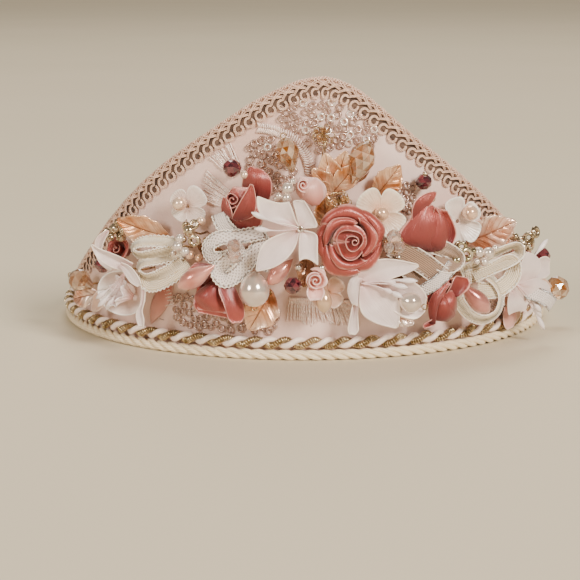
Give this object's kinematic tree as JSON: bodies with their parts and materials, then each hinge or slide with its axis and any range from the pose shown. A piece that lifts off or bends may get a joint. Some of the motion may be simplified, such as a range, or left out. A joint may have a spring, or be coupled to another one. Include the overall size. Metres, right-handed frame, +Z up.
{
  "type": "kokoshnik headdress",
  "caption": "Satin-covered arched band, open at the back, trimmed with gimp braid and twisted cords, with clay flowers, leaves, ribbon bows, drops and beads wired across its front.",
  "frame": {"origin": "middle of the head hollow, level with the bottom of the band", "axes": "+Z up, -Y towards the front where the flowers are, +X towards the wearer's left"},
  "size_m": [0.1631, 0.1111, 0.0814],
  "materials": {
    "satin": "pale pink satin over a stiff board, soft sheen",
    "gimp": "beige rose rayon gimp braid, dull with a light sheen on the cords",
    "gold_cord": "white satin ply twisted with gold metal thread",
    "cream_cord": "twisted cream cotton cord, dull",
    "coral_clay": "dusty coral air-drying clay with a pearly lustre on the rims",
    "blush_clay": "pale pink air-drying clay, satin",
    "white_clay": "white air-drying clay with a pink blush, slightly pearly",
    "cream_clay": "cream air-drying clay, satin",
    "peach_clay": "peach air-drying clay, pearly",
    "copper_clay": "clay painted in pearly rose copper, veined",
    "orange_clay": "clay painted in pearly gold and orange, veined",
    "silver_ribbon": "narrow ribbed ribbon with metallic edges",
    "cream_ribbon": "narrow cream ribbon with looped edges",
    "pearl": "pearl coating, glossy",
    "coral_gloss": "glossy pearly coral drop",
    "champagne_glass": "faceted champagne glass",
    "garnet_glass": "faceted dark red glass",
    "clear_glass": "faceted clear glass",
    "gold_bead": "polished pale gold metal"
  },
  "bodies": {
    "root": {"band": "satin", "cream_cord": "cream_cord", "gold_cord": "gold_cord", "gimp_braid": "gimp", "pearls_top": "pearl", "pearls_left": "pearl", "pearls_right": "pearl", "crystal_clear_left": "clear_glass", "crystal_clear_right": "clear_glass", "garnet_3": "garnet_glass", "beads_green_right": "gold_bead", "beads_gold_mid": "gold_bead", "drop_coral_left": "coral_gloss", "pearl_drop": "pearl", "pearl_low": "pearl", "lily_center": "white_clay", "rose_main": "coral_clay", "lily_low": "white_clay", "rose_left_low": "coral_clay", "rose_right_low": "coral_clay", "rose_left_up": "coral_clay", "rose_right_up": "coral_clay", "flower_right": "white_clay", "lily_left": "white_clay", "bud_top": "blush_clay", "bud_low": "blush_clay", "cream_right": "cream_clay", "drop_copper_right": "coral_gloss", "drop_coral_mid": "coral_gloss", "drop_ivory": "pearl", "ribbon_cream_left": "cream_ribbon", "ribbon_silver_left": "silver_ribbon", "ribbon_taupe_right": "silver_ribbon", "ribbon_cream_right": "cream_ribbon", "ribbon_pearly_low": "cream_ribbon", "garnet_1": "garnet_glass", "garnet_2": "garnet_glass", "garnet_4": "garnet_glass", "garnet_5": "garnet_glass", "crystal_top_left": "champagne_glass", "crystal_top_right": "champagne_glass", "crystal_far_left": "champagne_glass", "crystal_far_right": "champagne_glass", "beads_gold_left": "gold_bead", "beads_gold_right": "gold_bead", "bud_far_left": "coral_clay", "bud_far_right": "coral_clay", "peach_low": "peach_clay", "cream_left": "white_clay", "white_right": "cream_clay", "leaf_left": "orange_clay", "leaf_right": "copper_clay", "leaf_low": "orange_clay", "leaf_top_left": "orange_clay", "leaf_top_right": "copper_clay", "leaf_mid": "orange_clay", "leaf_far_left": "peach_clay"}
  },
  "joints": []
}
